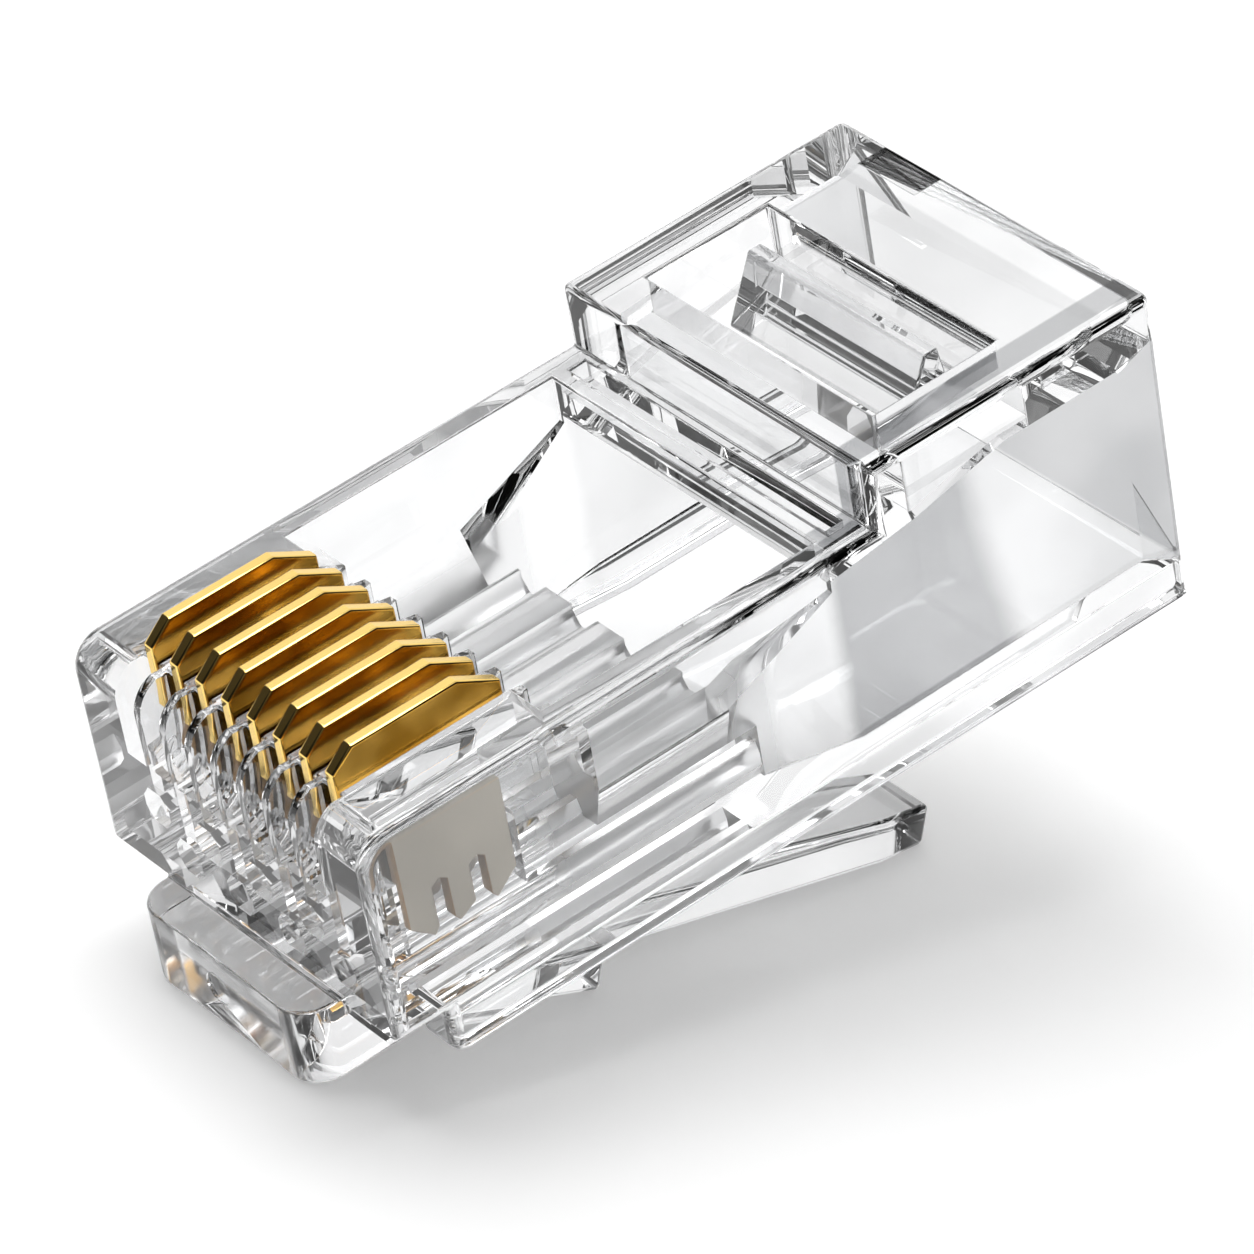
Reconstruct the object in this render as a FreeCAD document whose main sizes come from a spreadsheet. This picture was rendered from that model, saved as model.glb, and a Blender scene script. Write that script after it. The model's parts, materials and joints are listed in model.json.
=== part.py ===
import FreeCAD, Part
import math
import os
import Sketcher

# Eight-contact modular plug, not yet crimped, with its latch underneath and its contacts on top.
# Everything is drawn in the plug's own axes, in millimetres: X runs from the nose's front face to the
# cable end, Y across, and Z up from the nose's underside towards the contacts.
# At the end the whole plug is set down as it rests: on its latch, with the cable end raised.

SIZES = {
    # outside of the clear moulding
    "body_width": 11.68,
    "body_length": 24.4,
    "nose_height": 5.9,
    "step_place": 15.4,
    "rear_height": 7.7,
    "nose_round": 0.9,
    "edge_round": 0.35,
    "rail_start": 1.45,
    "rail_drop": 1.4,
    "rail_width": 1.25,
    "rail_round": 0.45,
    "keel_drop": 0.7,
    # root block that carries the latch
    "root_forward": 1.1,
    "root_back": 2.0,
    "root_width": 6.8,
    "root_depth": 2.2,
    "root_round": 0.9,
    "sink_depth": 0.03,
    "sink_edge": 0.1,
    "sink_slope": 1.1,
    "mark_width": 0.9,
    "mark_depth": 0.08,
    "mark_across": 0.24,
    "mark_drop": 1.05,
    # contacts and their slots
    "contact_pitch": 1.02,
    "contact_thickness": 0.35,
    "contact_play": 0.06,
    "contact_front": 0.95,
    "blade_length": 4.9,
    "blade_top": 6.85,
    "blade_depth": 2.25,
    "blade_chamfer": 0.65,
    "blade_nick": 0.52,
    "blade_run": 1.17,
    "blade_edge": 0.04,
    "shank_front": 1.5,
    "shank_width": 3.15,
    "tine_depth": 1.5,
    "tine_gap": 0.45,
    "tine_middle": 0.65,
    "tine_slant": 0.55,
    "tine_point": 0.15,
    "wire_clearance": 0.05,
    "crimp_travel": 1.0,
    "slot_margin": 0.15,
    "slot_mouth": 1.0,
    "slot_overlap": 0.1,
    "rib_thickness": 0.26,
    "tooth_depth": 0.85,
    "tooth_drop": 0.9,
    "tooth_tip": 0.18,
    # wire channels in two staggered rows
    "channel_start": 0.8,
    "channel_end": 11.7,
    "channel_width": 1.0,
    "channel_floor": 0.35,
    # window over the wires, funnel, cable cavity and its mouth
    "window_end": 14.2,
    "window_width": 10.0,
    "window_floor": 1.9,
    "window_ledge": 3.2,
    "ledge_end": 10.8,
    "ledge_top": 4.6,
    "funnel_top": 4.1,
    "floor_width": 8.4,
    "cavity_start": 14.5,
    "cavity_width": 9.8,
    "cavity_floor": 0.0,
    "cavity_roof": 4.9,
    "roof_rise": 0.9,
    "roof_run": 1.0,
    "mouth_length": 1.0,
    "mouth_flare": 0.42,
    "dent_start": 23.45,
    "dent_end": 24.2,
    "dent_low": 1.85,
    "dent_high": 3.85,
    "dent_depth": 0.25,
    "groove_start": 14.7,
    "groove_width": 0.5,
    "groove_depth": 0.5,
    # pocket with the bar that grips the cable's jacket
    "pocket_start": 16.95,
    "pocket_end": 20.8,
    "pocket_width": 8.6,
    "anchor_width": 6.7,
    "anchor_height": 1.8,
    "anchor_base": 5.8,
    "anchor_lean": 0.9,
    "anchor_edge": 0.4,
    "anchor_taper": 0.25,
    "anchor_reach": 1.45,
    "anchor_web": 0.4,
    "anchor_gap": 0.15,
    # latch, measured from its hinge axis
    "latch_angle": 20.0,
    "latch_thickness": 1.2,
    "shoulder_thickness": 1.7,
    "tail_thickness": 1.13,
    "latch_length": 17.0,
    "latch_width": 6.2,
    "shoulder_place": 5.3,
    "tail_width": 3.25,
    "taper_start": 15.4,
    "tip_width": 2.7,
    "hinge_round": 0.57,
    "hinge_drop": 1.8,
    "hinge_gap": 0.06,
}

CONTACTS = 8
BEYOND = "1.0"

doc = FreeCAD.newDocument("modular_plug")
sheet = doc.addObject("Spreadsheet::Sheet", "sizes")
for row, (alias, value) in enumerate(SIZES.items(), start=1):
    sheet.set(f"A{row}", alias)
    sheet.set(f"B{row}", str(value))
    sheet.setAlias(f"B{row}", alias)
doc.recompute()


def formula(text):
    """Puts the sheet's name before each size named in a formula."""
    words = []
    for word in text.replace("(", "( ").replace(")", " )").split():
        words.append("sizes." + word if word in SIZES else word)
    return " ".join(words)


def amount(text):
    """The value of a formula, in millimetres or degrees."""
    return float(sheet.evalExpression(formula(text)))


def bind(feature, prop, text):
    feature.setExpression(prop, formula(text))


def new_body(label):
    body = doc.addObject("PartDesign::Body", label)
    body.Label = label
    return body


def origin_feature(body, role):
    return next(part for part in body.Origin.OriginFeatures if part.Role == role)


def outline(body, name, plane, corners, offset="0"):
    """Closed outline on an origin plane. Each corner is a pair of formulas, and offset lifts the plane."""
    sketch = body.newObject("Sketcher::SketchObject", name)
    sketch.AttachmentSupport = [(origin_feature(body, plane), "")]
    sketch.MapMode = "FlatFace"
    bind(sketch, "AttachmentOffset.Base.z", offset)
    places = [FreeCAD.Vector(amount(across), amount(up), 0) for across, up in corners]
    count = len(corners)
    for at in range(count):
        sketch.addGeometry(Part.LineSegment(places[at], places[(at + 1) % count]))
    for at in range(count):
        sketch.addConstraint(Sketcher.Constraint("Coincident", at, 2, (at + 1) % count, 1))
    for at, pair in enumerate(corners):
        for kind, text, value in zip(("DistanceX", "DistanceY"), pair, places[at]):
            index = sketch.addConstraint(Sketcher.Constraint(kind, -1, 1, at, 1, value))
            bind(sketch, f"Constraints[{index}]", text)
    return sketch


def round_outline(body, name, plane, centre, radius, offset):
    """Circle on an origin plane, lifted by offset."""
    sketch = body.newObject("Sketcher::SketchObject", name)
    sketch.AttachmentSupport = [(origin_feature(body, plane), "")]
    sketch.MapMode = "FlatFace"
    bind(sketch, "AttachmentOffset.Base.z", offset)
    place = FreeCAD.Vector(amount(centre[0]), amount(centre[1]), 0)
    sketch.addGeometry(Part.Circle(place, FreeCAD.Vector(0, 0, 1), amount(radius)))
    for kind, text, value in zip(("DistanceX", "DistanceY"), centre, place):
        index = sketch.addConstraint(Sketcher.Constraint(kind, -1, 1, 0, 3, value))
        bind(sketch, f"Constraints[{index}]", text)
    index = sketch.addConstraint(Sketcher.Constraint("Radius", 0, amount(radius)))
    bind(sketch, f"Constraints[{index}]", radius)
    return sketch


def box_corners(left, low, right, high):
    return [(left, low), (right, low), (right, high), (left, high)]


def symmetric(body, kind, name, sketch, width):
    """Pad or pocket of a sketch, half to each side of its plane."""
    feature = body.newObject("PartDesign::" + kind, name)
    feature.Profile = sketch
    feature.SideType = "Symmetric"
    bind(feature, "Length", width)
    doc.recompute()
    return feature


def one_way(body, kind, name, sketch, length, reverse=False):
    """Pad or pocket of a sketch to one side of its plane."""
    feature = body.newObject("PartDesign::" + kind, name)
    feature.Profile = sketch
    feature.Reversed = reverse
    bind(feature, "Length", length)
    doc.recompute()
    return feature


def repeat_across(body, name, originals, step, copies):
    """Copies of features at even steps towards +Y."""
    pattern = body.newObject("PartDesign::LinearPattern", name)
    pattern.Originals = originals
    pattern.Direction = (origin_feature(body, "Y_Axis"), [""])
    pattern.Occurrences = copies
    bind(pattern, "Length", f"{step} * {copies - 1}")
    body.Tip = pattern
    doc.recompute()
    return pattern


def round_edges(body, name, feature, test, radius):
    """Fillet on the edges of a feature's solid that pass a test."""
    edges = [f"Edge{n}" for n, edge in enumerate(feature.Shape.Edges, start=1) if test(edge)]
    fillet = body.newObject("PartDesign::Fillet", name)
    fillet.Base = (feature, edges)
    bind(fillet, "Radius", radius)
    doc.recompute()
    return fillet


def loft_between(body, name, near, far):
    """Cuts the solid between two outlines."""
    loft = body.newObject("PartDesign::SubtractiveLoft", name)
    loft.Profile = near
    loft.Sections = [far]
    loft.Ruled = True
    doc.recompute()
    return loft


def lies_at(edge, **place):
    """True if an edge's ends and middle all have the given coordinates."""
    points = [vertex.Point for vertex in edge.Vertexes] + [edge.CenterOfMass]
    return all(abs(getattr(p, axis) - value) < 1e-4 for p in points for axis, value in place.items())


FIRST_CONTACT = "contact_pitch * 3.5"
SECOND_CONTACT = "contact_pitch * 2.5"
SLOT_WIDTH = "contact_thickness + 2 * contact_play"
SLOT_FLOOR = "blade_top - blade_depth - crimp_travel - 2 * contact_play"
SLOT_END = "contact_front + blade_length + slot_margin"
WINDOW_START = f"{SLOT_END} + tooth_depth"
SHELF = "nose_height - tooth_drop"
SHANK_FRONT = "shank_front - slot_margin"
SHANK_BACK = "shank_front + shank_width + slot_margin"
LOWER_ROW = "channel_floor"
UPPER_ROW = "channel_floor + channel_width"
SINK_START = "root_width / 2 - root_round - sink_edge"
SINK_FLOOR = f"{SINK_START} - sink_slope"
ABOVE = f"rear_height + {BEYOND}"


def outside(body):
    """Nose, raised cable end and side rails as one profile, with its edges rounded."""
    profile = outline(body, "side_profile", "XZ_Plane", [
        ("0", "0"),
        ("rail_start", "0"),
        ("rail_start", "0 - rail_drop"),
        ("body_length", "0 - rail_drop"),
        ("body_length", "rear_height"),
        ("step_place", "rear_height"),
        ("step_place", "nose_height"),
        ("0", "nose_height"),
    ])
    block = symmetric(body, "Pad", "block", profile, "body_width")
    nose_height = amount("nose_height")
    nose = round_edges(body, "nose_rounding", block, lambda e: lies_at(e, x=0, z=nose_height), "nose_round")
    front = amount("rail_start")
    low = amount("0 - rail_drop")
    rails = round_edges(body, "rail_rounding", nose, lambda e: lies_at(e, x=front, z=low), "rail_round")
    half = amount("body_width / 2")
    return round_edges(body, "side_rounding", rails,
                       lambda e: lies_at(e, y=half) or lies_at(e, y=-half), "edge_round")


def latch_side(body):
    """Recess between the rails, where the latch folds, and the root block in front of it.

    The thick root block sinks a little as it cools, so its front face is very slightly hollow.
    """
    recess = outline(body, "recess_profile", "XZ_Plane", box_corners(
        "rail_start", f"0 - rail_drop - {BEYOND}", f"body_length + {BEYOND}", "0 - keel_drop"))
    symmetric(body, "Pocket", "latch_recess", recess, "body_width - 2 * rail_width")
    root = outline(body, "root_outline", "XY_Plane", [
        ("0 - root_forward", "0 - root_width / 2"),
        ("root_back", "0 - root_width / 2"),
        ("root_back", "root_width / 2"),
        ("0 - root_forward", "root_width / 2"),
        ("0 - root_forward", SINK_START),
        ("sink_depth - root_forward", SINK_FLOOR),
        ("sink_depth - root_forward", f"0 - ({SINK_FLOOR})"),
        ("0 - root_forward", f"0 - ({SINK_START})"),
    ])
    block = one_way(body, "Pad", "latch_root", root, "root_depth", reverse=True)
    front = amount("0 - root_forward")
    side = amount("root_width / 2")
    round_edges(body, "root_rounding", block,
                lambda e: lies_at(e, x=front, y=side) or lies_at(e, x=front, y=-side), "root_round")
    mark = round_outline(body, "mark_outline", "YZ_Plane", ("mark_across", "0 - mark_drop"), "mark_width / 2",
                         "0 - root_forward")
    one_way(body, "Pocket", "ejector_mark", mark, "mark_depth", reverse=True)


def inside(body):
    """Window over the wires, funnel behind them, cable cavity with its flared mouth, and top pocket."""
    window = outline(body, "window_profile", "XZ_Plane", [
        (SLOT_END, ABOVE),
        (SLOT_END, SHELF),
        (WINDOW_START, SHELF),
        (WINDOW_START, "window_ledge"),
        ("ledge_end", "window_ledge"),
        ("window_end", "ledge_top"),
        ("window_end", ABOVE),
    ])
    symmetric(body, "Pocket", "window", window, "window_width")
    trough = outline(body, "trough_section", "YZ_Plane", [
        ("0 - floor_width / 2", "window_floor"),
        ("floor_width / 2", "window_floor"),
        ("window_width / 2", "window_ledge"),
        ("0 - window_width / 2", "window_ledge"),
    ], WINDOW_START)
    one_way(body, "Pocket", "trough", trough, f"ledge_end - ( {WINDOW_START} )", reverse=True)
    passage = outline(body, "passage_section", "YZ_Plane", box_corners(
        "0 - floor_width / 2", "window_floor", "floor_width / 2", "funnel_top"), "ledge_end")
    one_way(body, "Pocket", "passage", passage, "channel_end - ledge_end", reverse=True)
    near = outline(body, "funnel_front", "YZ_Plane", box_corners(
        "0 - floor_width / 2", LOWER_ROW, "floor_width / 2", "funnel_top"), "channel_end")
    far = outline(body, "funnel_back", "YZ_Plane", box_corners(
        "0 - cavity_width / 2", "cavity_floor", "cavity_width / 2", "cavity_roof"), "cavity_start")
    loft_between(body, "funnel", near, far)
    cavity = outline(body, "cavity_profile", "XZ_Plane", [
        ("cavity_start", "cavity_floor"),
        (f"body_length + {BEYOND}", "cavity_floor"),
        (f"body_length + {BEYOND}", "cavity_roof + roof_rise"),
        ("pocket_end - roof_run", "cavity_roof + roof_rise"),
        ("pocket_start", "cavity_roof + roof_rise / 3"),
        ("cavity_start", "cavity_roof"),
    ])
    symmetric(body, "Pocket", "cable_cavity", cavity, "cavity_width")
    inner = outline(body, "mouth_inner", "YZ_Plane", box_corners(
        "0 - cavity_width / 2", "cavity_floor", "cavity_width / 2", "cavity_roof + roof_rise"),
        "body_length - mouth_length")
    outer = outline(body, "mouth_outer", "YZ_Plane", box_corners(
        "0 - cavity_width / 2 - mouth_flare", "cavity_floor - mouth_flare",
        "cavity_width / 2 + mouth_flare", "cavity_roof + roof_rise + mouth_flare"), "body_length")
    loft_between(body, "mouth", inner, outer)
    groove = outline(body, "groove_profile", "XZ_Plane", box_corners(
        "groove_start", "nose_height - groove_depth", "groove_start + groove_width", f"nose_height + {BEYOND}"))
    symmetric(body, "Pocket", "step_groove", groove, "cavity_width")
    pocket = outline(body, "pocket_profile", "XZ_Plane", box_corners(
        "pocket_start", "cavity_roof", "pocket_end", ABOVE))
    symmetric(body, "Pocket", "anchor_pocket", pocket, "pocket_width")
    dent = outline(body, "dent_outline", "XY_Plane", box_corners(
        "dent_start", "dent_low", "dent_end", "dent_high"), "rear_height")
    one_way(body, "Pocket", "rear_dent", dent, "dent_depth")


def contact_comb(body):
    """Slots for the contacts, wider at the front between thin ribs, and pointed teeth behind them."""
    slot = outline(body, "slot_profile", "XZ_Plane", box_corners(
        f"0 - {BEYOND}", SLOT_FLOOR, SLOT_END, ABOVE), FIRST_CONTACT)
    slot_cut = symmetric(body, "Pocket", "slot", slot, SLOT_WIDTH)
    repeat_across(body, "slots", [slot_cut], "contact_pitch", CONTACTS)
    gap = outline(body, "gap_profile", "XZ_Plane", box_corners(
        f"0 - {BEYOND}", SLOT_FLOOR, "slot_mouth", ABOVE), FIRST_CONTACT)
    gap_cut = symmetric(body, "Pocket", "front_gap", gap, "contact_pitch - rib_thickness")
    repeat_across(body, "front_gaps", [gap_cut], "contact_pitch", CONTACTS)
    notch = outline(body, "notch_outline", "XY_Plane", [
        (f"{SLOT_END} - slot_overlap", f"0 - {FIRST_CONTACT} - contact_thickness / 2"),
        (f"{WINDOW_START} + slot_overlap", f"0 - {FIRST_CONTACT} - ( contact_pitch - tooth_tip ) / 2"),
        (f"{WINDOW_START} + slot_overlap", f"0 - {FIRST_CONTACT} + ( contact_pitch - tooth_tip ) / 2"),
        (f"{SLOT_END} - slot_overlap", f"0 - {FIRST_CONTACT} + contact_thickness / 2"),
    ], "nose_height")
    notch_cut = one_way(body, "Pocket", "notch", notch, f"nose_height - ( {SLOT_FLOOR} )")
    repeat_across(body, "teeth", [notch_cut], "contact_pitch", CONTACTS)


def wire_channels(body):
    """Two staggered rows of six-sided channels, each under the shanks of every second contact."""
    for row, first, low in (("lower", FIRST_CONTACT, LOWER_ROW), ("upper", SECOND_CONTACT, UPPER_ROW)):
        section = outline(body, row + "_channel_section", "YZ_Plane", [
            (f"0 - {first} - channel_width / 4", low),
            (f"0 - {first} + channel_width / 4", low),
            (f"0 - {first} + channel_width / 2", f"{low} + channel_width / 3"),
            (f"0 - {first} + channel_width / 2", f"{low} + channel_width * 2 / 3"),
            (f"0 - {first} + channel_width / 4", f"{low} + channel_width"),
            (f"0 - {first} - channel_width / 4", f"{low} + channel_width"),
            (f"0 - {first} - channel_width / 2", f"{low} + channel_width * 2 / 3"),
            (f"0 - {first} - channel_width / 2", f"{low} + channel_width / 3"),
        ], "channel_start")
        channel = one_way(body, "Pocket", row + "_channel", section,
                          "channel_end - channel_start + slot_overlap", reverse=True)
        repeat_across(body, row + "_channels", [channel], "contact_pitch * 2", CONTACTS // 2)
        shank = outline(body, row + "_shank_profile", "XZ_Plane", box_corners(
            SHANK_FRONT, f"{low} + channel_width / 2", SHANK_BACK, f"{SLOT_FLOOR} + slot_overlap"), first)
        shank_cut = symmetric(body, "Pocket", row + "_shank_slot", shank, SLOT_WIDTH)
        repeat_across(body, row + "_shank_slots", [shank_cut], "contact_pitch * 2", CONTACTS // 2)


def make_housing():
    body = new_body("housing")
    outside(body)
    latch_side(body)
    inside(body)
    contact_comb(body)
    wire_channels(body)
    return body


def make_contact(label, low):
    """Stamped blade with a narrower shank and three tines that stop just above its wire channel."""
    body = new_body(label)
    tip = f"{low} + channel_width + wire_clearance"
    slot_top = f"{tip} + tine_depth"
    back = "contact_front + blade_length"
    shank_back = "shank_front + shank_width"
    middle = "shank_front + shank_width / 2"
    near_gap = f"{middle} - tine_middle / 2"
    far_gap = f"{middle} + tine_middle / 2"
    profile = outline(body, label + "_profile", "XZ_Plane", [
        ("contact_front", "blade_top - blade_nick"),
        ("contact_front + blade_chamfer", "blade_top"),
        (f"{back} - blade_run", "blade_top"),
        (back, "blade_top - blade_chamfer"),
        (back, "blade_top - blade_depth"),
        (shank_back, "blade_top - blade_depth"),
        (shank_back, f"{tip} + tine_slant"),
        (f"{far_gap} + tine_gap + tine_point", tip),
        (f"{far_gap} + tine_gap", f"{tip} + tine_slant / 3"),
        (f"{far_gap} + tine_gap", f"{slot_top} - tine_gap / 3"),
        (f"{far_gap} + tine_gap / 2", slot_top),
        (far_gap, f"{slot_top} - tine_gap / 3"),
        (far_gap, f"{tip} + tine_slant / 2"),
        (f"{near_gap} + tine_point", tip),
        (near_gap, f"{tip} + tine_slant / 3"),
        (near_gap, f"{slot_top} - tine_gap / 3"),
        (f"{near_gap} - tine_gap / 2", slot_top),
        (f"{near_gap} - tine_gap", f"{slot_top} - tine_gap / 3"),
        (f"{near_gap} - tine_gap", f"{tip} + tine_slant / 3"),
        (f"{near_gap} - tine_gap - tine_point", tip),
        ("shank_front", f"{tip} + tine_slant"),
        ("shank_front", "blade_top - blade_depth"),
        ("contact_front", "blade_top - blade_depth"),
    ])
    plate = symmetric(body, "Pad", label + "_plate", profile, "contact_thickness")
    half = amount("contact_thickness / 2")
    shoulder = amount("blade_top - blade_depth + slot_overlap")
    edges = [f"Edge{n}" for n, edge in enumerate(plate.Shape.Edges, start=1)
             if (lies_at(edge, y=half) or lies_at(edge, y=-half)) and edge.CenterOfMass.z > shoulder]
    coined = body.newObject("PartDesign::Chamfer", label + "_coined_edges")
    coined.Base = (plate, edges)
    bind(coined, "Size", "blade_edge")
    doc.recompute()
    return body


def make_anchor():
    """Bar that a crimping tool folds down on the cable's jacket, with the web it folds about."""
    body = new_body("cable_anchor")
    top = "anchor_base + anchor_height"
    web_end = "pocket_end - anchor_gap"
    front = "pocket_end - anchor_reach"
    profile = outline(body, "anchor_profile", "XZ_Plane", [
        (f"{front} - anchor_lean", "anchor_base"),
        (web_end, "anchor_base"),
        (web_end, "anchor_base + anchor_web"),
        (f"{front} + anchor_edge + anchor_taper", "anchor_base + anchor_web"),
        (f"{front} + anchor_edge", top),
        (front, top),
    ])
    symmetric(body, "Pad", "anchor_bar", profile, "anchor_width")
    return body


def make_latch():
    """Sprung latch, drawn along X from its hinge axis: wide to the shoulders, then a narrow tail."""
    body = new_body("latch")
    top = "latch_thickness / 2"
    side = outline(body, "latch_profile", "XZ_Plane", [
        ("0 - latch_thickness / 2", "0 - latch_thickness / 2"),
        ("0", "0 - latch_thickness / 2"),
        ("shoulder_place", f"{top} - shoulder_thickness"),
        ("latch_length", f"{top} - tail_thickness"),
        ("latch_length", top),
        ("0 - latch_thickness / 2", top),
    ])
    bar = symmetric(body, "Pad", "latch_bar", side, "latch_width")
    front = amount("0 - latch_thickness / 2")
    width = amount("latch_width")
    round_edges(body, "hinge_rounding", bar,
                lambda e: lies_at(e, x=front) and e.BoundBox.YLength > width / 2, "hinge_round")
    for name, sign in (("near", "0 -"), ("far", "0 +")):
        beside = outline(body, name + "_side_outline", "XY_Plane", [
            ("shoulder_place", f"{sign} tail_width / 2"),
            ("taper_start", f"{sign} tail_width / 2"),
            ("latch_length", f"{sign} tip_width / 2"),
            (f"latch_length + {BEYOND}", f"{sign} tip_width / 2"),
            (f"latch_length + {BEYOND}", f"{sign} latch_width"),
            ("shoulder_place", f"{sign} latch_width"),
        ])
        symmetric(body, "Pocket", name + "_side", beside, "shoulder_thickness * 4")
    return body


def hinge_place():
    """Axis of the latch's hinge, just behind the root block."""
    return FreeCAD.Vector(amount("root_back + hinge_gap + latch_thickness / 2"), 0, amount("0 - hinge_drop"))


def rest_angle():
    """Slope of the line from the root block's lower front edge to the latch's lowest edge."""
    slope = math.radians(amount("latch_angle"))
    length = amount("latch_length")
    below = amount("tail_thickness - latch_thickness / 2")
    place = hinge_place()
    tip_x = place.x + length * math.cos(slope) - below * math.sin(slope)
    tip_z = place.z - length * math.sin(slope) - below * math.cos(slope)
    return math.degrees(math.atan2(amount("0 - root_depth") - tip_z, tip_x + amount("root_forward")))


def set_down(placed):
    """Puts every body where it rests, with the origin under the middle of the whole plug."""
    tilt = FreeCAD.Placement(FreeCAD.Vector(), FreeCAD.Rotation(FreeCAD.Vector(0, 1, 0), -rest_angle()))
    box = FreeCAD.BoundBox()
    for body, own in placed:
        shape = body.Shape.copy()
        shape.Placement = tilt.multiply(own)
        box.add(shape.optimalBoundingBox(False, False))
    lift = FreeCAD.Placement(
        FreeCAD.Vector(-(box.XMin + box.XMax) / 2, -(box.YMin + box.YMax) / 2, -box.ZMin),
        FreeCAD.Rotation())
    rest = lift.multiply(tilt)
    for body, own in placed:
        body.Placement = rest.multiply(own)
    return rest


def check(bodies):
    """Stops if any object failed, or if a body isn't one sound solid."""
    for part in doc.Objects:
        if "Invalid" in part.State or "Error" in part.State:
            raise RuntimeError(f"{part.Name} failed")
    for body in bodies:
        if body.Shape.isNull() or not body.Shape.isValid() or len(body.Shape.Solids) != 1:
            raise RuntimeError(f"{body.Label} is not one sound solid")


def main():
    own_frame = FreeCAD.Placement()
    slope = FreeCAD.Rotation(FreeCAD.Vector(0, 1, 0), amount("latch_angle"))
    placed = [
        (make_housing(), own_frame),
        (make_latch(), FreeCAD.Placement(hinge_place(), slope)),
        (make_anchor(), own_frame),
    ]
    for number in range(1, CONTACTS + 1):
        low = LOWER_ROW if number % 2 == 0 else UPPER_ROW
        across = amount(f"contact_pitch * {(CONTACTS + 1) / 2 - number}")
        place = FreeCAD.Placement(FreeCAD.Vector(0, across, 0), FreeCAD.Rotation())
        placed.append((make_contact(f"contact_{number}", low), place))
    rest = set_down(placed)
    doc.recompute()
    bodies = [body for body, own in placed]
    check(bodies)
    os.makedirs("parts", exist_ok=True)
    for body in bodies:
        body.Shape.exportStep(f"parts/{body.Label}.step")
    print("rest angle", round(rest_angle(), 3), "rest place", rest.Base)
    return rest


main()
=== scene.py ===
import json
import math

import bmesh
import bpy
from mathutils import Matrix, Vector

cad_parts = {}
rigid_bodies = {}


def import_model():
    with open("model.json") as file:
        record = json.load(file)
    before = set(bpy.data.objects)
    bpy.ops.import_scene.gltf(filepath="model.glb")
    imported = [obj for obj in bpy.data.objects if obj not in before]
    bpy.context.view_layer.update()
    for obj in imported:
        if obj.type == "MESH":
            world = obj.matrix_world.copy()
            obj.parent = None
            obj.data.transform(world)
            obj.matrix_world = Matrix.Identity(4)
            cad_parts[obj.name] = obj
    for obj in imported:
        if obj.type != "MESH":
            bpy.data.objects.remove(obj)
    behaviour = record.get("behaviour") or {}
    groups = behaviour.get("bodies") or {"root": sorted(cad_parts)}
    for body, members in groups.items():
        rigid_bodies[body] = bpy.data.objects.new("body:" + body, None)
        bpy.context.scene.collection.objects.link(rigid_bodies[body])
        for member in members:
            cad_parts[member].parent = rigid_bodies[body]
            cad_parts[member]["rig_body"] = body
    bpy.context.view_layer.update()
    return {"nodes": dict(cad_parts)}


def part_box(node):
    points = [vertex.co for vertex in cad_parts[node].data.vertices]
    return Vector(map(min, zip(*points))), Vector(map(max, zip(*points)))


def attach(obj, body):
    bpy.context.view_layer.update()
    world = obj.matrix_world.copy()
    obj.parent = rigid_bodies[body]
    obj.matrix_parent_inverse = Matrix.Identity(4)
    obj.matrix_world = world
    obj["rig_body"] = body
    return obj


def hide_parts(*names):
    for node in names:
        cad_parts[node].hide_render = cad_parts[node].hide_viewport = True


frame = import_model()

MM = 0.001

# The photograph's camera, and how the plug lies on the table.
CAMERA_PLACE = Vector((-109.748, -126.483, 94.063)) * MM
CAMERA_TURN = math.radians(-40.84)
CAMERA_RISE = math.radians(27.26)
CAMERA_ROLL = math.radians(5.38)
CAMERA_LENS = 224.73
REST_ANGLE = math.radians(16.824)
REST_PLACE = Vector((-11.1376, 0.0, 2.4242)) * MM

# Places on the plug, along its own axes: X from nose to cable end, Y across, Z up.
HALF_WIDTH = 5.84 * MM
NOSE_TOP = 5.9 * MM
STEP = 15.4 * MM
STEP_CREST = NOSE_TOP + 0.5 * MM
REAR_END = 24.4 * MM
REAR_SIDE = 5.5 * MM
REAR_CREST = 7.4 * MM
CAVITY_START = 14.3 * MM
CAVITY_SIDE = 4.9 * MM
INNER_SIDE = 5.35 * MM
INNER_FLOOR = 0.2 * MM
MARK_ACROSS = 0.24 * MM
MARK_DROP = 1.05 * MM
MARK_REACH = 0.5 * MM
BLADE_FOOT = 4.6 * MM
NEAR = 0.02 * MM

# Soft borders of the finishes and the painted shade on the plastic, from start to end. They run along an axis,
# but the two borders of the painted wall shade are slanted, as the grey areas' edges are, and the mark's rim is
# measured from the mark's centre.
WALL_INSIDE = (CAVITY_SIDE - 0.3 * MM, CAVITY_SIDE - 0.2 * MM)
WALL_OUTSIDE = (HALF_WIDTH - 0.45 * MM, HALF_WIDTH - 0.4 * MM)
CENTRE = (-0.5 * MM, 0.5 * MM)
CAVITY_FRONT = (CAVITY_START - 0.4 * MM, CAVITY_START + 0.2 * MM)
SHADE_FADE_BORDER = (18.9 * MM, 20.0 * MM)
SHADE_MOUTH_BORDER = (24.0 * MM, 24.2 * MM)
ROOF_BOTTOM = (5.6 * MM, 5.65 * MM)
ROOF_TOP = (5.9 * MM, 5.95 * MM)
ROOF_FRONT = (STEP + 0.2 * MM, STEP + 0.8 * MM)
ROOF_SIDE = (4.8 * MM, 4.9 * MM)
CHANNELS_FRONT = (5.7 * MM, 6.0 * MM)
CHANNELS_REAR = (12.0 * MM, 12.6 * MM)
CHANNELS_BOTTOM = (0.1 * MM, 0.2 * MM)
CHANNELS_TOP = (3.4 * MM, 3.6 * MM)
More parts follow.
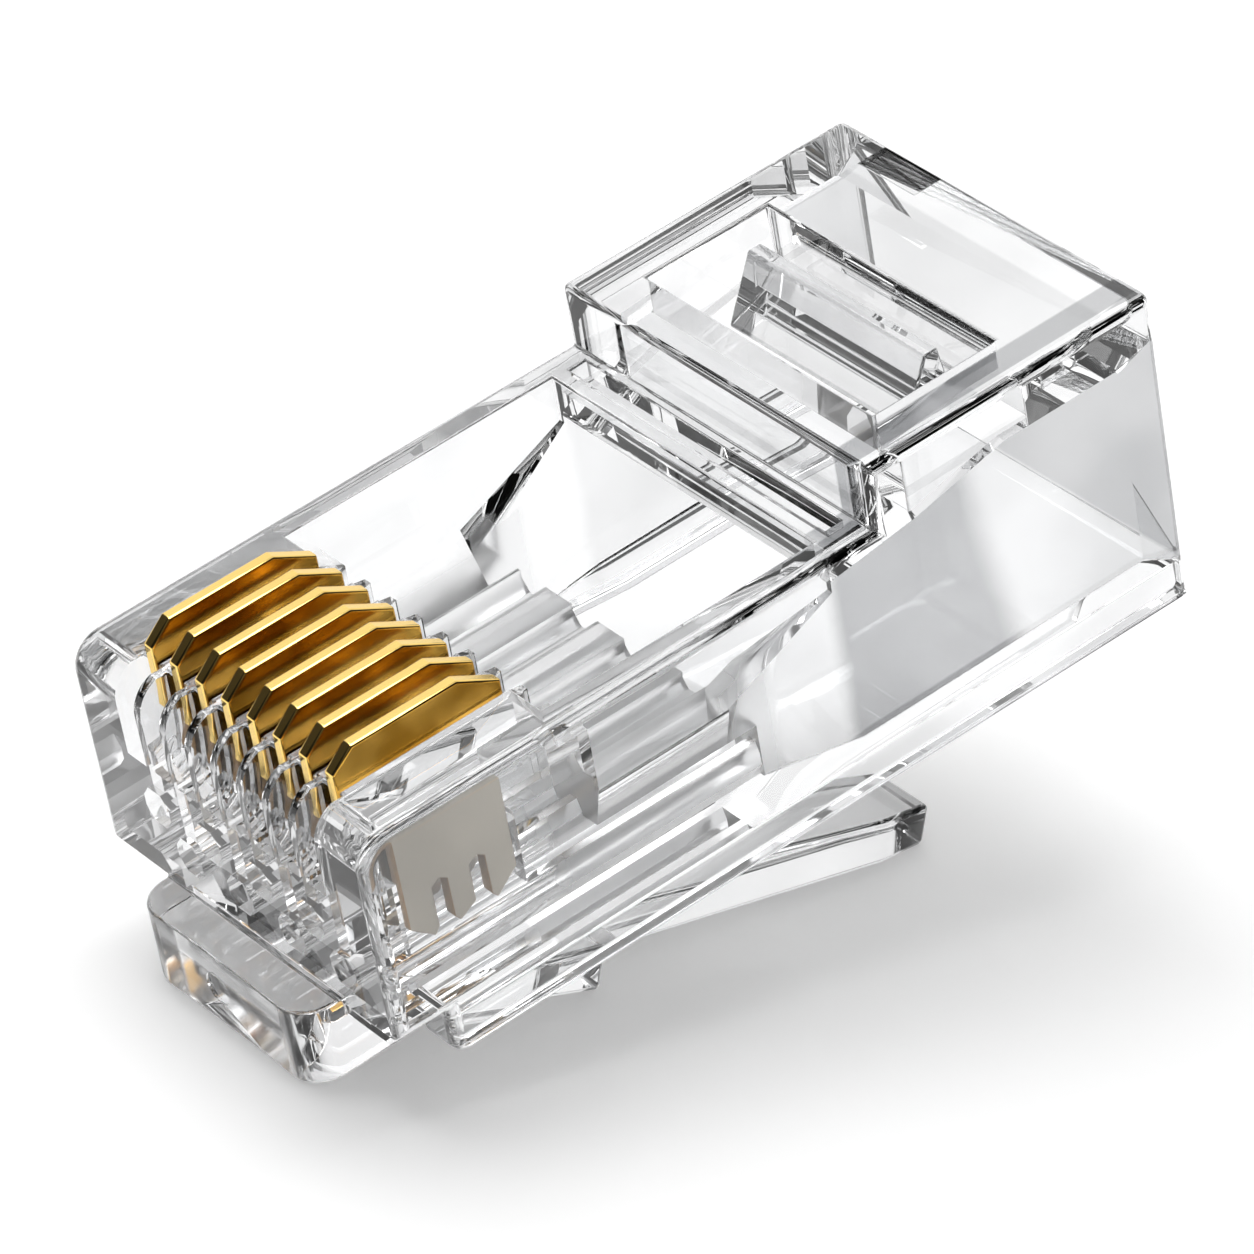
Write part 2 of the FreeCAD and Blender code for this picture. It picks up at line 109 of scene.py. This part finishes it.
CHANNELS_SIDE = (4.6 * MM, 4.8 * MM)
BLOCK_FRONT = (-0.98 * MM, -0.9 * MM)
MARK_RIM = (0.43 * MM, 0.46 * MM)

# Plastic: colours, how much of the smoky grey each place takes, as random clouds and as painted shade, and how
# hazy it is.
CLEAR = (0.958, 0.961, 0.965, 1.0)
SMOKE_AND_SHADE = (0.25, 0.255, 0.265, 1.0)
REFRACTION = 1.58
CLOUD_BORDER = (0.40, 0.66)
CLOUD_TINT = 0.16
# Painted shade: how grey the cavity's walls, the wire channels and the cavity's roof are painted, the far
# wall's smaller share, and how the wall shade lessens towards the cable end and grows at the mouth.
PAINTED_WALL_SHADE = 0.98
PAINTED_CHANNEL_SHADE = 0.12
PAINTED_ROOF_SHADE = 0.35
FAR_WALL_SHADE_LOSS = 0.7
SHADE_FADE_LOSS = 0.75
MOUTH_SHADE_GAIN = 0.65
FADE_SLANT = 0.18
MOUTH_SLANT = 0.8
CHANNEL_HAZE = 0.3
BLOCK_HAZE = 0.13

# Contacts: the plated finish on the blade and below it, on flanks and cut edges. The blade's flanks are painted
# darker than its edges, as painted shade.
GOLD_EDGE = (1.0, 0.70, 0.22, 1.0)
# Painted shade: the blade's flanks, between these two darker golds, stand for shaded gold; its edges keep the
# plain gold.
SHADED_FLANK_GOLD = (0.88, 0.50, 0.09, 1.0)
DARK_FLANK_SHADE = (0.46, 0.22, 0.02, 1.0)
BARE_BRONZE = (0.36, 0.22, 0.10, 1.0)
NICKEL = (0.43, 0.395, 0.335, 1.0)
FLANK_SHADE_MOTTLE = (0.36, 0.62)
PLATING_BORDER = 0.03 * MM
FLANK_TURN = (0.75, 0.95)
NICKEL_ROUGHNESS = 0.34
GOLD_POLISH = 0.22
FLANK_ROUGHNESS = 0.04
GRAIN_ROUGHNESS = 0.04

# Rounded edges.
SHARP = math.radians(35)
SMOOTH = math.radians(32)
FLAT = math.radians(0.5)
SAME_POINT = 0.002 * MM
HOUSING_ROUNDING = 0.24 * MM
LATCH_ROUNDING = 0.15 * MM
ANCHOR_ROUNDING = 0.06 * MM
CONTACT_ROUNDING = 0.03 * MM
OUTSIDE_SHARE = 0.3

# Floor, room and lamp.
FLOOR_SIZE = 3.0
FLOOR_HEIGHT = -0.02 * MM
FLOOR_GREY = 0.78
FLOOR_GLOW = 0.31
FLOOR_TURNS_WHITE = (48.0 * MM, 95.0 * MM)
FRONT_CARD = (-0.15, 0.25)
SIDE_CARDS = (0.45, 0.7)
CEILING = (0.78, 0.95)
FRONT_CARD_DARK = 0.9
SIDE_CARDS_DARK = 0.95
CEILING_DARK = 0.55
LAMP_PLACE = Vector((-0.03, 0.055, 0.30))
LAMP_AIM = Vector((0.0, 0.0, 0.005))
LAMP_SIZE = 0.26
LAMP_POWER = 0.87


class Value:
    """A shader socket that takes part in Python sums."""

    def __init__(self, paint, socket):
        self.paint = paint
        self.socket = socket

    def _sum(self, kind, *parts):
        return self.paint.node("ShaderNodeMath", {"operation": kind}, dict(enumerate(parts)))

    def __add__(self, other):
        return self._sum("ADD", self, other)

    def __radd__(self, other):
        return self._sum("ADD", other, self)

    def __sub__(self, other):
        return self._sum("SUBTRACT", self, other)

    def __rsub__(self, other):
        return self._sum("SUBTRACT", other, self)

    def __mul__(self, other):
        return self._sum("MULTIPLY", self, other)

    def __rmul__(self, other):
        return self._sum("MULTIPLY", other, self)

    def __pow__(self, other):
        return self._sum("POWER", self, other)

    def __rpow__(self, other):
        return self._sum("POWER", other, self)

    def __abs__(self):
        return self._sum("ABSOLUTE", self)

    def or_more(self, other):
        """The larger of the two."""
        return self._sum("MAXIMUM", self, other)

    def past(self, border):
        """0 before a soft border, 1 after it, and a smooth rise between."""
        start, end = border
        return self.paint.node("ShaderNodeMapRange", {"interpolation_type": "SMOOTHSTEP"},
                               {"Value": self, "From Min": start, "From Max": end})

    def before(self, border):
        """1 before a soft border, 0 after it, and a smooth fall between."""
        return 1.0 - self.past(border)


class Paint:
    """One material or world, whose nodes all come from one method."""

    def __init__(self, owner):
        owner.use_nodes = True
        self.tree = owner.node_tree
        self.tree.nodes.clear()

    def node(self, kind, settings=None, inputs=None, output=0):
        made = self.tree.nodes.new(kind)
        for name, value in (settings or {}).items():
            setattr(made, name, value)
        for name, value in (inputs or {}).items():
            if isinstance(value, Value):
                self.tree.links.new(value.socket, made.inputs[name])
            else:
                made.inputs[name].default_value = value
        return Value(self, made.outputs[output]) if made.outputs else made

    def mix(self, share, first, second):
        """The first colour where the share is 0 and the second where it is 1."""
        return self.node("ShaderNodeMix", {"data_type": "RGBA"}, {0: share, 6: first, 7: second}, output=2)

    def axes(self, vector):
        """The three parts of a vector."""
        return [self.node("ShaderNodeSeparateXYZ", inputs={"Vector": vector}, output=axis) for axis in "XYZ"]

    def finish(self, shader):
        self.node("ShaderNodeOutputMaterial", inputs={"Surface": shader})


def grey(level):
    return (level, level, level, 1.0)


def plug_point(point):
    """A point of the scene, told along the plug's own axes."""
    return Matrix.Rotation(REST_ANGLE, 3, "Y") @ (point - REST_PLACE)


def plug_axes(paint, place):
    """The plug's own X, Y and Z at a surface point, as it lies turned on the table."""
    plug = paint.node("ShaderNodeMapping", {"vector_type": "POINT"}, {
        "Vector": place,
        "Location": plug_point(Vector((0.0, 0.0, 0.0))),
        "Rotation": (0.0, REST_ANGLE, 0.0),
    })
    return paint.axes(plug)


def clear_plastic(name):
    """Clear moulded plastic with faint clouds of flow, a haze in the wire channels and on the root block's
    front, and painted
    shade: grey on the cable cavity's walls and roof, more on the near wall, and a lighter grey in the wire
    channels."""
    made = bpy.data.materials.new(name)
    paint = Paint(made)
    place = paint.node("ShaderNodeTexCoord", output="Object")
    along, across, height = plug_axes(paint, place)
    aside = abs(across)

    # Painted shade: the cable cavity's walls are greyed, more on the near wall than the far one, lessening past
    # a slanted border towards the cable end and darker again past a slanted border at the mouth.
    on_wall = aside.past(WALL_INSIDE) * aside.before(WALL_OUTSIDE)
    shade_by_side = 1.0 - across.past(CENTRE) * FAR_WALL_SHADE_LOSS
    shade_fading = (along + height * FADE_SLANT).past(SHADE_FADE_BORDER)
    at_mouth = (along + height * MOUTH_SLANT).past(SHADE_MOUTH_BORDER)
    wall_painted_shade = along.past(CAVITY_FRONT) * on_wall * shade_by_side * (
        1.0 - shade_fading * SHADE_FADE_LOSS + at_mouth * MOUTH_SHADE_GAIN)

    # Painted shade on the cable cavity's roof and in the wire channels; the channels also get a haze in
    # roughness.
    on_roof = height.past(ROOF_BOTTOM) * height.before(ROOF_TOP) * (
        along.past(ROOF_FRONT) * aside.before(ROOF_SIDE))
    in_channels = along.past(CHANNELS_FRONT) * along.before(CHANNELS_REAR) * (
        height.past(CHANNELS_BOTTOM) * height.before(CHANNELS_TOP)) * aside.before(CHANNELS_SIDE)

    from_mark = ((across - MARK_ACROSS) ** 2.0 + (height + MARK_DROP) ** 2.0) ** 0.5
    on_mark = from_mark.before(MARK_RIM)
    on_block = along.before(BLOCK_FRONT)

    flow = paint.node("ShaderNodeTexNoise", inputs={
        "Vector": place, "Scale": 170.0, "Detail": 2.0, "Roughness": 0.6})
    clouds = flow.past(CLOUD_BORDER)
    # The clouds are the plastic's own random tone; the wall, channel and roof parts are painted shade.
    clouds_and_painted_shade = clouds * CLOUD_TINT + wall_painted_shade * PAINTED_WALL_SHADE + in_channels * PAINTED_CHANNEL_SHADE + on_roof * PAINTED_ROOF_SHADE
    paint.finish(paint.node("ShaderNodeBsdfPrincipled", inputs={
        "Base Color": paint.mix(clouds_and_painted_shade, CLEAR, SMOKE_AND_SHADE),
        "Roughness": in_channels * CHANNEL_HAZE + on_block * (BLOCK_HAZE - on_mark * BLOCK_HAZE),
        "Transmission Weight": 1.0,
        "IOR": REFRACTION,
    }))
    return made


def contact_metal(name):
    """Bronze strip plated with gold on the blade and nickel below it, bare at the shank's cut edges; the
    blade's flanks are painted darker, mottled gold, as painted shade.
    """
    made = bpy.data.materials.new(name)
    paint = Paint(made)
    place = paint.node("ShaderNodeTexCoord", output="Object")
    height = plug_axes(paint, place)[2]
    facing = paint.node("ShaderNodeTexCoord", output="Normal")
    on_flank = abs(paint.axes(facing)[1]).past(FLANK_TURN)
    # Painted shade: random spots mix the blade's flanks between two shaded golds, darker than its edges.
    flank_mottle = paint.node("ShaderNodeTexNoise", inputs={"Vector": place, "Scale": 520.0, "Detail": 2.0})
    flank = paint.mix(flank_mottle.past(FLANK_SHADE_MOTTLE), SHADED_FLANK_GOLD, DARK_FLANK_SHADE)
    gold = paint.mix(on_flank, GOLD_EDGE, flank)
    shank = paint.mix(on_flank, BARE_BRONZE, NICKEL)
    on_blade = paint.node("ShaderNodeMapRange", {"clamp": True}, {
        "Value": height, "From Min": BLADE_FOOT - PLATING_BORDER, "From Max": BLADE_FOOT + PLATING_BORDER})
    grain = paint.node("ShaderNodeTexNoise", inputs={"Vector": place, "Scale": 1600.0, "Detail": 2.0})
    paint.finish(paint.node("ShaderNodeBsdfPrincipled", inputs={
        "Base Color": paint.mix(on_blade, shank, gold),
        "Metallic": 1.0,
        "Roughness": (NICKEL_ROUGHNESS - on_blade * (GOLD_POLISH - on_flank * FLANK_ROUGHNESS)
                      + grain * GRAIN_ROUGHNESS),
        "Normal": paint.node("ShaderNodeBump", inputs={
            "Height": grain, "Strength": 0.05, "Distance": 0.004 * MM}),
    }))
    return made


def edge_share(first, second):
    """How much of the full rounding an edge of the housing gets.

    The cable end's outline and the step's crest get all of it, the inside and the ejector mark none, and
    every other edge the outside's share.
    """
    one, two = plug_point(first), plug_point(second)
    middle = (one + two) / 2.0
    at_end = min(one.x, two.x) > REAR_END - NEAR and (abs(middle.y) > REAR_SIDE or middle.z > REAR_CREST)
    at_step = max(abs(one.x - STEP), abs(two.x - STEP)) < NEAR and min(one.z, two.z) > STEP_CREST
    if at_end or at_step:
        return 1.0
    at_mark = middle.x < 0.0 and math.hypot(middle.y - MARK_ACROSS, middle.z + MARK_DROP) < MARK_REACH
    inside = abs(middle.y) < INNER_SIDE and INNER_FLOOR < middle.z < NOSE_TOP - NEAR and -NEAR < middle.x
    return 0.0 if inside or at_mark else OUTSIDE_SHARE


def weigh_edges(mesh, share):
    """Gives each sharp edge its share of the rounding."""
    shape = bmesh.new()
    shape.from_mesh(mesh)
    layer = shape.edges.layers.float.new("bevel_weight_edge")
    for edge in shape.edges:
        if len(edge.link_faces) == 2 and edge.calc_face_angle(0.0) > SHARP:
            edge[layer] = share(edge.verts[0].co, edge.verts[1].co)
    shape.to_mesh(mesh)
    shape.free()


def keep_within(mesh, low, high):
    """Brings back the few corner points that the rounding pushes out of the solid's own box."""
    for vertex in mesh.vertices:
        vertex.co = [min(max(value, least), most) for value, least, most in zip(vertex.co, low, high)]


def softened(node, name, material, width, share=None):
    """A copy of a CAD node, its flat faces made whole and its sharp edges slightly rounded.

    With a share, each edge is rounded by its own part of the width.
    """
    bpy.ops.object.select_all(action="DESELECT")
    mesh = frame["nodes"][node].data.copy()
    mesh.name = name
    item = bpy.data.objects.new(name, mesh)
    bpy.context.scene.collection.objects.link(item)
    bpy.context.view_layer.objects.active = item
    item.select_set(True)
    mesh.materials.clear()
    mesh.materials.append(material)
    bpy.ops.object.mode_set(mode="EDIT")
    bpy.ops.mesh.select_all(action="SELECT")
    bpy.ops.mesh.remove_doubles(threshold=SAME_POINT)
    bpy.ops.mesh.dissolve_limited(angle_limit=FLAT)
    bpy.ops.object.mode_set(mode="OBJECT")
    bpy.ops.object.shade_smooth_by_angle(angle=SMOOTH)
    rounding = item.modifiers.new("rounding", "BEVEL")
    rounding.width = width
    rounding.segments = 2
    rounding.use_clamp_overlap = False
    rounding.angle_limit = SHARP
    rounding.limit_method = "WEIGHT" if share else "ANGLE"
    if share:
        weigh_edges(mesh, share)
    bpy.ops.object.modifier_apply(modifier=rounding.name)
    flatness = item.modifiers.new("flatness", "WEIGHTED_NORMAL")
    flatness.keep_sharp = True
    bpy.ops.object.modifier_apply(modifier=flatness.name)
    keep_within(mesh, *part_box(node))
    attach(item, frame["nodes"][node]["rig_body"])
    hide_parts(node)


def seen_directly(paint):
    """1 for what the camera sees, straight, in gloss or through plastic, and 0 for light that bounces about."""
    straight, gloss, through = (
        paint.node("ShaderNodeLightPath", output=ray)
        for ray in ("Is Camera Ray", "Is Glossy Ray", "Is Transmission Ray"))
    return straight.or_more(gloss).or_more(through)


def make_floor():
    """A pale floor that keeps the plug's shadow and turns plain white away from it."""
    bpy.ops.object.select_all(action="DESELECT")
    bpy.ops.mesh.primitive_plane_add(size=FLOOR_SIZE, location=(0.0, 0.0, FLOOR_HEIGHT))
    floor = bpy.context.object
    floor.name = "floor"
    made = bpy.data.materials.new("studio_floor")
    paint = Paint(made)
    seen = seen_directly(paint)
    place = paint.node("ShaderNodeTexCoord", output="Object")
    distance = paint.node("ShaderNodeVectorMath", {"operation": "LENGTH"}, {0: place}, output="Value")
    away = distance.past(FLOOR_TURNS_WHITE)
    diffuse = paint.node("ShaderNodeBsdfDiffuse", inputs={
        "Color": paint.mix(away * seen, grey(FLOOR_GREY), grey(0.0))})
    glow = paint.node("ShaderNodeEmission", inputs={
        "Color": grey(1.0), "Strength": seen * (FLOOR_GLOW + away * (1.0 - FLOOR_GLOW))})
    paint.finish(paint.node("ShaderNodeAddShader", inputs={0: diffuse, 1: glow}))
    floor.data.materials.append(made)


def make_world():
    """A white room with dark cards at both sides and on the camera's side, which draw the plastic's edges."""
    world = bpy.data.worlds.new("studio")
    bpy.context.scene.world = world
    paint = Paint(world)
    east, north, rise = paint.axes(paint.node("ShaderNodeTexCoord", output="Generated"))
    towards = east * math.sin(CAMERA_TURN) - north * math.cos(CAMERA_TURN)
    across = abs(east * math.cos(CAMERA_TURN) + north * math.sin(CAMERA_TURN))
    room = (1.0 - rise.past(CEILING) * CEILING_DARK) * (
        1.0 - towards.past(FRONT_CARD) * FRONT_CARD_DARK) * (
        1.0 - across.past(SIDE_CARDS) * SIDE_CARDS_DARK)
    camera = paint.node("ShaderNodeLightPath", output="Is Camera Ray")
    shader = paint.node("ShaderNodeBackground", inputs={
        "Color": grey(1.0), "Strength": room * (1.0 - camera) + camera})
    paint.node("ShaderNodeOutputWorld", inputs={"Surface": shader})


def make_lamp():
    """One square soft lamp overhead, turned to the middle of the plug."""
    light = bpy.data.lights.new("softbox", "AREA")
    light.shape = "RECTANGLE"
    light.size = light.size_y = LAMP_SIZE
    light.energy = LAMP_POWER
    lamp = bpy.data.objects.new("softbox", light)
    bpy.context.scene.collection.objects.link(lamp)
    lamp.location = LAMP_PLACE
    lamp.rotation_euler = (LAMP_AIM - LAMP_PLACE).to_track_quat("-Z", "Y").to_euler()


def make_camera():
    """The camera of the photograph, as the fit to the plug's corners gave it."""
    data = bpy.data.cameras.new("camera")
    data.sensor_width = 36.0
    data.lens = CAMERA_LENS
    data.clip_start = 0.01
    camera = bpy.data.objects.new("camera", data)
    bpy.context.scene.collection.objects.link(camera)
    level = math.cos(CAMERA_RISE)
    back = Vector((math.sin(CAMERA_TURN) * level, -math.cos(CAMERA_TURN) * level, math.sin(CAMERA_RISE)))
    right = Vector((0.0, 0.0, 1.0)).cross(back).normalized()
    upright = Matrix((right, back.cross(right), back)).transposed()
    rolled = upright @ Matrix.Rotation(CAMERA_ROLL, 3, "Z")
    camera.matrix_world = Matrix.Translation(CAMERA_PLACE) @ rolled.to_4x4()
    bpy.context.scene.camera = camera


def main():
    scene = bpy.context.scene
    scene.view_settings.view_transform = "Standard"
    scene.cycles.diffuse_bounces = 1
    scene.cycles.glossy_bounces = 8
    scene.cycles.transmission_bounces = 15
    scene.cycles.max_bounces = 17
    scene.cycles.caustics_reflective = False
    make_camera()
    make_world()
    make_floor()
    make_lamp()
    clear = clear_plastic("clear_plastic")
    metal = contact_metal("gold_contact")
    for node in frame["nodes"]:
        if node.startswith("contact"):
            softened(node, "plated_" + node, metal, CONTACT_ROUNDING)
    softened("housing", "clear_housing", clear, HOUSING_ROUNDING, edge_share)
    softened("latch", "clear_latch", clear, LATCH_ROUNDING)
    softened("cable_anchor", "clear_anchor", clear, ANCHOR_ROUNDING)


main()
